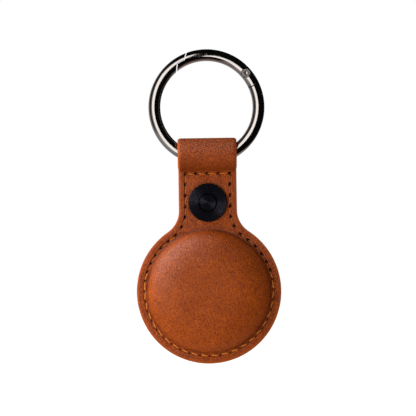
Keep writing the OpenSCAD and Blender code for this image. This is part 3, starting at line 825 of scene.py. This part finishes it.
def thread(name, run, tacks, surface, sign, r, slant, dive, ply_light_share):
    """The thread of a run of holes: its stitches, and the doubled stitches where its ends are sewn over. A
    stitch of the run that isn't in the row has the painted light of its plies scaled by ply_light_share, so a
    share below 1 paints shade on it."""
    start, end, ways = holes[run[:-1]], holes[run[1:]], outward[run[:-1]]
    shift = seam_shift * ways
    pieces = stitches(start + shift, end + shift, ways, surface, sign, r, slant=-sign * slant, dive=dive)
    for first, last in tacks:
        shift = tack_shift * outward[[first]]
        pieces += stitches(holes[[first]] + shift, holes[[last]] + shift, outward[[first]], surface, sign,
                           tack_r, slant=sign * tack_slant, lift=tack_lift)
    in_row = np.abs((end - start)[:, 1]) < 0.1
    for g, level_stitch in zip(pieces, in_row):
        g["marks"]["ply"] = g["marks"]["ply"] * (1 if level_stitch else ply_light_share)
    piece = build(name, pieces, ("ply",))
    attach(piece, "holder")
    return piece


around = np.arange(len(holes) + 1) % len(holes)
upper_run, lower_run = around[lower_stitches:], around[:lower_stitches + 1]
upper_tacks, lower_tacks = [(22, 23), (0, 49)], [(21, 22), (0, 1)]
# A ply_light_share below 1 paints shade on the stitches outside the row.
threads = [
    thread("upper_front_thread", upper_run, upper_tacks, front_y, -1, 0.13, slant=0.26, dive=0.3,
           ply_light_share=0.2),
    thread("lower_front_thread", lower_run, lower_tacks, front_y, -1, 0.22, slant=0.42, dive=0.3, ply_light_share=1),
    thread("upper_back_thread", upper_run, [], lining_y, 1, 0.17, slant=0.26, dive=0.24, ply_light_share=0.8),
    thread("lower_back_thread", lower_run, lower_tacks, panel_y, 1, 0.18, slant=0.26, dive=0.24, ply_light_share=1),
]
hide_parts("upper_needle_thread")
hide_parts("lower_needle_thread")
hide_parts("upper_bobbin_thread")
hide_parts("lower_bobbin_thread")

# %% [markdown]
# ## Gate spring
# The coil in the gate pushes against the ring's tongue, so it has to get shorter as the gate opens. Here it is
# a mesh of its own: a helix carried along the gate's bore, with its place measured on the packed coil.

# %% Place of the imported coil
hinge_angle = math.radians(40)
ring_way = np.array([math.cos(hinge_angle), 0, math.sin(hinge_angle)])
coil_way = np.array([-math.sin(hinge_angle), 0, math.cos(hinge_angle)])
wire_d, turns = 0.2, 7
packed_coil = nodes["gate_spring"]
packed = np.empty(len(packed_coil.data.vertices) * 3)
packed_coil.data.vertices.foreach_get("co", packed)
to_frame = np.array(packed_coil.matrix_world)
packed = (packed.reshape(-1, 3) @ to_frame[:3, :3].T + to_frame[:3, 3]) / MM
low_end, high_end = (packed @ coil_way).min(), (packed @ coil_way).max()
coil_low, coil_high = (packed @ ring_way).min(), (packed @ ring_way).max()
coil_axis, coil_r = (coil_low + coil_high) / 2, (coil_high - coil_low - wire_d) / 2
print("coil", round(high_end - low_end, 2), "mm long, radius", round(coil_r, 2))

# %% Coil
# A circle of radius coil_r in the plane across the bore, pulled along the bore, with its turns a little
# closer at both ends. The tube round it closes to a point at its ends.
s = np.linspace(0, 1, 24 * turns + 1)
theta = 2 * np.pi * turns * s
coil_out = np.cos(theta)[:, None] * ring_way + np.sin(theta)[:, None] * np.array([0, 1, 0])
coil_rise = wire_d / 2 + (high_end - low_end - wire_d) * (0.75 * s + 0.25 * s * s * (3 - 2 * s))
middle = coil_axis * ring_way + (low_end + coil_rise)[:, None] * coil_way + coil_r * coil_out
phi = np.linspace(0, 2 * np.pi, 10, endpoint=False)
wire_r = wire_d / 2 * np.minimum(1, 40 * np.minimum(s, 1 - s) + 1e-5)[:, None, None]
round_wire = np.cos(phi)[:, None] * coil_out[:, None] + np.sin(phi)[:, None] * coil_way
tube = middle[:, None] + wire_r * round_wire
coil = build("gate_coil", [grid(tube, closed=True)])
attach(coil, "gate")
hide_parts("gate_spring")
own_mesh(coil)

# %% [markdown]
# ## Shader helpers
# A material is a small graph. These helpers make a node with its values in one call, in the tree that its
# links come from. They also make node groups with named sockets, so that an effect such as grain is built
# once and every material sets its own amounts.

# %% Node helpers
def feed(socket, value):
    """Links a socket to another node's output, or gives it a plain value."""
    if isinstance(value, bpy.types.NodeSocket):
        socket.id_data.links.new(value, socket)
    else:
        socket.default_value = value


def give(node, **inputs):
    """Feeds a node's inputs by name, with spaces written as _."""
    for name, value in inputs.items():
        feed(node.inputs[name.replace("_", " ")], value)


def add(kind, inputs=(), tree=None, **settings):
    """A node of a kind with settings, and values or links for its inputs, by name or number."""
    inputs = dict(inputs)
    tree = tree or next(v.id_data for v in inputs.values() if isinstance(v, bpy.types.NodeSocket))
    made = tree.nodes.new("ShaderNode" + kind)
    for name, value in settings.items():
        setattr(made, name, value)
    for name, value in inputs.items():
        feed(made.inputs[name], value)
    return made


def maths(operation, a, b=0.0, c=0.0):
    """A sum: MULTIPLY_ADD is a times b plus c."""
    return add("Math", {0: a, 1: b, 2: c}, operation=operation).outputs[0]


def times(a, b):
    """The product of a and b."""
    return maths("MULTIPLY", a, b)


def remap(value, low, high, to_low=0.0, to_high=1.0):
    """Clamped change of range."""
    return add("MapRange", {0: value, 1: low, 2: high, 3: to_low, 4: to_high}).outputs[0]


def mix(factor, a, b):
    """Mixes two colours."""
    return add("Mix", {0: factor, 6: a, 7: b}, data_type="RGBA").outputs[2]


def vector(operation, a, b, output="Vector"):
    """A vector sum of a and b."""
    return add("VectorMath", {0: a, 1: b}, operation=operation).outputs[output]


def noise(place, scale, detail, roughness=0.5, output=0):
    """Cloudy noise from 0 to 1, with scale features to the millimetre."""
    inputs = {"Vector": place, "Scale": scale, "Detail": detail, "Roughness": roughness}
    return add("TexNoise", inputs).outputs[output]


def bump(height, strength, depth_mm):
    """The normal of a surface with small relief."""
    return add("Bump", {"Height": height, "Strength": strength, "Distance": depth_mm * MM}).outputs[0]


# %% Groups, materials and colours
def effect(name, inputs, outputs):
    """A node group with named sockets. Returns the group, its input sockets and the node for its outputs."""
    tree = bpy.data.node_groups.new(name, "ShaderNodeTree")
    tree.interface.new_socket("Place", in_out="INPUT", socket_type="NodeSocketVector")
    for label, value in inputs.items():
        socket = tree.interface.new_socket(label, in_out="INPUT", socket_type="NodeSocketFloat")
        socket.default_value = value
    for label in outputs:
        tree.interface.new_socket(label, in_out="OUTPUT", socket_type="NodeSocketFloat")
    return tree, tree.nodes.new("NodeGroupInput").outputs, tree.nodes.new("NodeGroupOutput")


def use(group, place, inputs):
    """Places a node group at a place, with values or links for its inputs."""
    return add("Group", {"Place": place, **inputs}, node_tree=group).outputs


def material(name):
    """A material with a Principled shader. Returns it, its tree, the shader and Object coordinates in mm."""
    made = bpy.data.materials.new(name)
    made.use_nodes = True
    tree = made.node_tree
    place = add("TexCoord", tree=tree).outputs["Object"]
    mm = add("VectorMath", {0: place, "Scale": 1 / MM}, operation="SCALE").outputs[0]
    return made, tree, tree.nodes["Principled BSDF"], mm


def mark(tree, name):
    """A point attribute of the mesh."""
    return add("Attribute", tree=tree, attribute_name=name).outputs["Fac"]


def colour(r, g, b):
    """A colour as seen on screen, 0 to 255, turned into the linear values that the shader wants."""
    srgb = np.array([r, g, b]) / 255
    return (*np.where(srgb <= 0.04045, srgb / 12.92, ((srgb + 0.055) / 1.055) ** 2.4), 1.0)


# %% [markdown]
# ## Leather grain as one effect
# Smooth tanned leather shows small pebbles parted by fine creases, a few hair pores, and slow changes of
# tone where dye has soaked in unevenly. The first group gives a height for the bump and masks for the
# colour, and the second gives the tone.

# %% Grain
grain, grain_in, grain_out = effect("Leather grain", {"Cell": 0.7, "Pore spacing": 1.6},
                                    ("Height", "Creases", "Pores", "Fine"))
wobble = vector("SUBTRACT", noise(grain_in["Place"], 1.6, 3.0, output="Color"), (0.5, 0.5, 0.5))
shifted = add("VectorMath", {0: wobble, 1: (0.9, 0.9, 0.9), 2: grain_in["Place"]},
              operation="MULTIPLY_ADD").outputs[0]
cells = add("TexVoronoi", {"Vector": shifted, "Scale": maths("DIVIDE", 1.0, grain_in["Cell"])},
            feature="DISTANCE_TO_EDGE").outputs[0]
fine = remap(noise(grain_in["Place"], 1.9, 4.0, 0.7), 0.32, 0.68)
seen = add("Mapping", {"Vector": grain_in["Place"], "Rotation": (math.pi / 2, 0, 0)}).outputs[0]
pore_cells = add("TexVoronoi", {"Vector": seen, "Scale": maths("DIVIDE", 1.0, grain_in["Pore spacing"])},
                 voronoi_dimensions="2D").outputs
pores = times(remap(pore_cells["Distance"], 0.15, 0.06), remap(pore_cells["Color"], 0.25, 0.75, 0.15, 1.0))
height = maths("MULTIPLY_ADD", remap(cells, 0.0, 0.3), 0.45, times(fine, 0.5))
give(grain_out, Height=maths("MULTIPLY_ADD", pores, -0.4, height), Creases=remap(cells, 0.12, 0.0),
     Pores=pores, Fine=fine)

# %% Uneven dye
tone, tone_in, tone_out = effect("Uneven dye", {"Size": 6.0}, ("Tone",))
slow = noise(tone_in["Place"], maths("DIVIDE", 1.0, tone_in["Size"]), 5.0, 0.6)
speck = times(noise(tone_in["Place"], 1.7, 5.0, 0.7), 0.4)
give(tone_out, Tone=remap(maths("MULTIPLY_ADD", slow, 0.35, speck), 0.19, 0.56))
print("node groups:", [group.name for group in bpy.data.node_groups])

# %% [markdown]
# The leather itself is a stack of colours. The grain side has its own pair of tones where it is moulded,
# because the skin is stretched and shinier there. Over it lie darker places that are partly burnish and partly
# painted shade in the dome's foot, the channel and the loop's foot, the raw flesh side, the edge paint and
# painted shade inside the holes, each where the mesh's attributes say.

# %% Leathers
def leather(name, flat, flat_dark, painted, fleshy, deep=None, deep_dark=None):
    """Leather from colours on screen: a light and a dark tone, the edge paint, the flesh side, and the two
    tones of the moulded part if they are others."""
    flat, flat_dark, painted, fleshy, deep, deep_dark = [
        colour(*rgb) for rgb in (flat, flat_dark, painted, fleshy, deep or flat, deep_dark or flat_dark)]
    made, tree, shader, mm = material(name)
    g = use(grain, mm, {"Cell": 0.85, "Pore spacing": 1.8})
    paint, flesh, hole, burnish, moulded = [mark(tree, label) for label in MARKS]
    fibre = noise(mm, 5.0, 5.0, 0.7)
    dark = mix(moulded, flat_dark, deep_dark)
    pore_and_shade_tint = (0.03, 0.002, 0.001, 1)
    darkest = tuple((np.array(deep_dark) + pore_and_shade_tint) / 2)
    suede = mix(remap(fibre, 0.3, 0.7), fleshy, flat)
    shade = mix(moulded, flat, deep)
    # The burnish mark adds painted shade, and the hole mark paints the slits' insides dark as shade.
    for factor, over in ((use(tone, mm, {"Size": 5.0})["Tone"], dark), (remap(g["Fine"], 0.65, 0.15), dark),
                         (times(g["Creases"], 0.7), dark), (times(g["Pores"], 0.95), darkest),
                         (times(burnish, 0.7), darkest), (flesh, suede), (paint, painted),
                         (hole, colour(22, 9, 5))):
        shade = mix(factor, shade, over)
    rough = maths("MULTIPLY_ADD", flesh, 0.35, remap(g["Fine"], 0, 1, 0.58, 0.46))
    rough = maths("MULTIPLY_ADD", moulded, -0.14, rough)
    relief = maths("MULTIPLY_ADD", times(fibre, flesh), 1.2, g["Height"])
    relief = times(relief, remap(paint, 0, 1, 1.0, 0.3))
    give(shader, Base_Color=shade, Roughness=maths("MULTIPLY_ADD", paint, 0.3, rough),
         Specular_IOR_Level=0.13, Normal=bump(relief, 1.0, 0.13))
    return made


skins = {
    front_leather: leather("Front leather", flat=(196, 92, 24), flat_dark=(116, 45, 6), deep=(197, 91, 8),
                           deep_dark=(122, 47, 2), painted=(160, 73, 18), fleshy=(170, 120, 84)),
    lining: leather("Lining leather", flat=(190, 88, 30), flat_dark=(126, 48, 10),
                    painted=(150, 68, 22), fleshy=(160, 110, 78)),
    back_leather: leather("Back leather", flat=(196, 92, 32), flat_dark=(128, 50, 11),
                          painted=(152, 68, 22), fleshy=(168, 118, 82)),
}
for piece, skin in skins.items():
    piece.data.materials.append(skin)
    print(skin.name, "on", piece.name)

# %% [markdown]
# ## Waxed thread
# The colour paints light on the plies' backs and shade between them, and a painted highlight on a few loose
# fibres. The tube's own lobes give the shape, so the bump only adds the fibres.

# %% Thread
waxed_thread, tree, shader, mm = material("Waxed thread")
fibres = noise(mm, 9.0, 3.0)
# Painted light and shade from the ply mark: light on each ply's back, shade between plies.
shade = mix(remap(mark(tree, "ply"), 0.0, 0.7), colour(150, 68, 12), colour(220, 122, 20))
shade = mix(remap(fibres, 0.5, 0.8), shade, colour(238, 162, 62))
give(shader, Base_Color=shade, Roughness=0.45, Normal=bump(fibres, 0.3, 0.05))
for piece in threads:
    piece.data.materials.append(waxed_thread)
print(len(threads), "threads waxed")

# %% [markdown]
# ## Metals
# The ring is a zinc casting with a polished black nickel plating. Handling leaves hairline scratches and a
# faint haze, which show as slightly rougher spots in the reflection.

# %% Metal effects and materials
wear, wear_in, wear_out = effect("Handling wear", {"Amount": 1.0}, ("Haze", "Height"))
streaks = add("Mapping", {"Vector": wear_in["Place"], "Rotation": (0.6, 0.3, 0.9),
                          "Scale": (0.35, 6.0, 6.0)}).outputs[0]
hairs = remap(noise(streaks, 3.0, 4.0, 0.6), 0.62, 0.72)
haze = remap(noise(wear_in["Place"], 0.8, 5.0, 0.65), 0.42, 0.75)
give(wear_out, Haze=times(haze, wear_in["Amount"]), Height=times(hairs, wear_in["Amount"]))


def metal(name, tint, rough, hazy):
    """Plated or bright metal with handling wear."""
    made, _, shader, mm = material(name)
    w = use(wear, mm, {"Amount": 1.0})
    give(shader, Base_Color=tint, Metallic=1.0, Roughness=remap(w["Haze"], 0, 1, rough, hazy),
         Normal=bump(w["Height"], 0.02, 0.01))
    return made


black_nickel = metal("Black nickel", (0.38, 0.345, 0.325, 1), 0.07, 0.16)
pin_metal = metal("Pin steel", (0.36, 0.32, 0.305, 1), 0.24, 0.34)
spring_metal = metal("Spring steel", (0.5, 0.49, 0.47, 1), 0.2, 0.3)

# %% [markdown]
# The snap's cap is turned on a lathe and coated black. Its fine rings stretch every highlight into a bow tie,
# which the shader's anisotropy does, with its tangent running round the cap's axis. A painted shade line
# darkens the groove between the cap and the rivet's flush head.

# %% Turned black finish of the snap
black_snap, tree, shader, mm = material("Black turned snap")
post_low, post_high = box_mm("snap_post")
disc_r = (post_high[0] - post_low[0]) / 2
in_plane = vector("MULTIPLY", vector("ADD", mm, (0, 0, -snap_z)), (1, 0, 1))
from_axis = add("VectorMath", {0: in_plane}, operation="LENGTH").outputs["Value"]
rings = add("TexNoise", {"W": from_axis, "Scale": 5.0, "Detail": 4.0, "Roughness": 0.7},
            noise_dimensions="1D").outputs[0]
shade = mix(remap(rings, 0.4, 0.7), (0.006, 0.0065, 0.011, 1), (0.033, 0.031, 0.043, 1))
# Painted shade: a dark line in the groove round the rivet's head.
groove_shade = remap(maths("ABSOLUTE", maths("SUBTRACT", from_axis, disc_r)), 0.14, 0.06)
haze = use(wear, mm, {"Amount": 1.0})["Haze"]
give(shader, Base_Color=mix(groove_shade, shade, (0.001, 0.001, 0.001, 1)), Metallic=0.75,
     Roughness=remap(haze, 0, 1, 0.26, 0.4), Specular_IOR_Level=0.3, Anisotropic=0.9,
     Anisotropic_Rotation=0.25, Normal=bump(rings, 0.35, 0.03),
     Tangent=add("Tangent", tree=tree, direction_type="RADIAL", axis="Y").outputs[0])

for skin, names in ((black_nickel, ["ring_body", "ring_gate"]), (pin_metal, ["gate_pin"]),
                    (spring_metal, ["gate_coil", "socket_spring"]),
                    (black_snap, ["snap_cap", "snap_post", "snap_socket", "snap_stud", "stud_rivet"])):
    for name in names:
        data = bpy.data.objects[name].data
        data.materials.clear()
        data.materials.append(skin)
    print(skin.name, "on", names)

# %% [markdown]
# ## Light
# The product hangs in front of a white sweep. The world gives each kind of ray its own light: white for the
# camera, an even fill for diffuse light, weaker from the front, and for reflections a dark room with a
# bright backdrop behind at the left, a bright table top below it and a glow beside the softbox, which is
# what the ring mirrors.

# %% World
room_light, glow_light, dark_light = 0.42, 0.6, 0.004
front_fill, side_fill = 0.17, 0.64
scene = bpy.context.scene
world = bpy.data.worlds.new("Studio")
scene.world = world
world.use_nodes = True
tree = world.node_tree
tree.nodes.clear()
ray = add("LightPath", tree=tree).outputs
direction = add("TexCoord", tree=tree).outputs["Generated"]
forward, leftward, downward, cornerward = [
    vector("DOT_PRODUCT", direction, way, "Value")
    for way in ((0, 1, 0), (-1, 0, 0), (0, 0, -1), (-0.5, 0.35, -0.55))]
backdrop = remap(maths("MULTIPLY_ADD", downward, 0.45, forward), 0.12, 0.42)
table = times(remap(downward, 0.32, 0.45), remap(leftward, 0.25, 0.4))
glow = times(remap(leftward, 0.5, 0.62), remap(forward, -0.2, -0.75))
bright_side = times(remap(cornerward, 0.06, 0.22), maths("MAXIMUM", backdrop, table))
room = maths("MULTIPLY_ADD", glow, glow_light, times(bright_side, room_light))
room = maths("ADD", room, dark_light)
fill_light = remap(forward, -0.9, 0.0, front_fill, side_fill)
strength = remap(ray["Is Glossy Ray"], 0, 1, fill_light, room)
seen_white = maths("MAXIMUM", ray["Is Camera Ray"], ray["Is Transmission Ray"])
strength = remap(seen_white, 0, 1, strength, 1.0)
light = add("Background", {"Color": (1, 1, 1, 1), "Strength": strength})
add("OutputWorld", {"Surface": light.outputs[0]})
print("world of", len(tree.nodes), "nodes")

# %% [markdown]
# A photographer lights leather, polished metal and black metal one by one, with cards and flags between
# them. Here each lamp only reflects or only lights, and some reach only some pieces. Two close lamps at the
# left shape the leather. The tall softbox is the streak on the ring, and the last two are the sheen on the
# dome and the glint on the snap.

# %% Lamps
def softbox(name, azimuth, elevation, distance, size, radiance, mirrored, pieces=(), spin=0):
    """An area lamp that looks at the holder, for reflections if mirrored and else for diffuse light. Azimuth
    is measured from the camera's side, positive to the left, and spin turns the lamp about its own axis."""
    lamp = bpy.data.lights.new(name, "AREA")
    lamp.shape = "RECTANGLE"
    lamp.size, lamp.size_y = size
    lamp.energy = radiance * math.pi * size[0] * size[1]
    piece = new_object(name, lamp)
    a, e = math.radians(azimuth), math.radians(elevation)
    way = np.array([-math.sin(a) * math.cos(e), -math.cos(a) * math.cos(e), math.sin(e)])
    piece.location = np.array([0, 0, -0.035]) + way * distance
    piece.rotation_euler = (math.pi / 2 - e, 0, -a)
    piece.rotation_euler.rotate_axis("Z", math.radians(spin))
    piece.visible_diffuse, piece.visible_glossy = not mirrored, mirrored
    if pieces:
        lit = bpy.data.collections.new(name + " pieces")
        for lit_piece in pieces:
            lit.objects.link(bpy.data.objects[lit_piece])
        piece.light_linking.receiver_collection = lit
    print(name, "at azimuth", azimuth, "elevation", elevation)


leathers = ["front_leather", "lining", "back_leather"]
ring_metal = ["ring_body", "ring_gate", "gate_pin", "gate_coil"]
close = {"distance": 0.32, "size": (0.2, 0.24), "mirrored": False}
far = {"distance": 0.8, "mirrored": True}
softbox("Tall softbox", 23, 4, **far, size=(0.6, 1.2), radiance=2.3, spin=10,
        pieces=ring_metal + leathers + [piece.name for piece in threads])
softbox("Window", 44, -8, **close, radiance=6.8)
softbox("High side light", 98, 38, **close, radiance=8.2)
softbox("Side light on the leather", 74, 38, **far, size=(0.36, 0.42), radiance=46.0, pieces=leathers)
softbox("Light on the snap", 42, 17, **far, size=(0.42, 0.5), radiance=10.0,
        pieces=["snap_cap", "snap_post"])

# %% [markdown]
# ## Floor and camera
# The floor is white to the camera and keeps the holder's shadow. The camera is placed by the picture's
# scale: one pixel is about 0.3 mm at the ring, the ring's centre falls on its pixel, and the small lean is
# the photograph's.

# %% Floor
floor_size, floor_z = 1.5, -0.125
floor_data = bpy.data.meshes.new("floor")
corners = [(x * floor_size, y * floor_size, floor_z) for x, y in ((-1, -1), (1, -1), (1, 1), (-1, 1))]
floor_data.from_pydata(corners, [], [(0, 1, 2, 3)])
floor = new_object("floor", floor_data)
floor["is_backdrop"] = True
white_sweep, tree, shader, _ = material("White sweep")
to_camera = add("LightPath", tree=tree).outputs["Is Camera Ray"]
give(shader, Base_Color=(0.8, 0.8, 0.8, 1), Roughness=0.8, Emission_Color=(1, 1, 1, 1),
     Emission_Strength=times(to_camera, 0.75))
floor.visible_glossy = False
floor_data.materials.append(white_sweep)
print("floor", 2 * floor_size, "m wide")

# %% Camera
image_width, mm_per_pixel = 416, 0.3034
ring_pixel = np.array([206.44, 107.2])
lean = math.radians(0.82)
distance, sensor_width = 0.7, 36
camera_data = bpy.data.cameras.new("camera")
camera = new_object("camera", camera_data)
scene.camera = camera
camera_data.sensor_width = sensor_width
camera_data.lens = sensor_width * distance / (image_width * mm_per_pixel * MM)
off = (np.array([image_width / 2, image_width / 2]) - ring_pixel) * mm_per_pixel
right_way = np.array([math.cos(lean), -math.sin(lean)])
up_way = np.array([math.sin(lean), math.cos(lean)])
aim = (right_way * off[0] - up_way * off[1]) * MM
camera.location = (aim[0], -distance, aim[1])
camera.rotation_euler = (math.pi / 2, 0, 0)
camera.rotation_euler.rotate_axis("Z", -lean)
camera_data.clip_start = 0.01
scene.view_settings.view_transform = "Standard"
print("lens", round(camera_data.lens, 1), "mm")

# %% [markdown]
# ## Sizes at the end
# The boxes of the imported model and of the dressed one are printed.

# %% Print the dressed box
bpy.context.view_layer.update()
dressed_box = [list(corner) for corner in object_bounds()]
print("dressed box in metres:", [[round(x, 4) for x in corner] for corner in dressed_box])
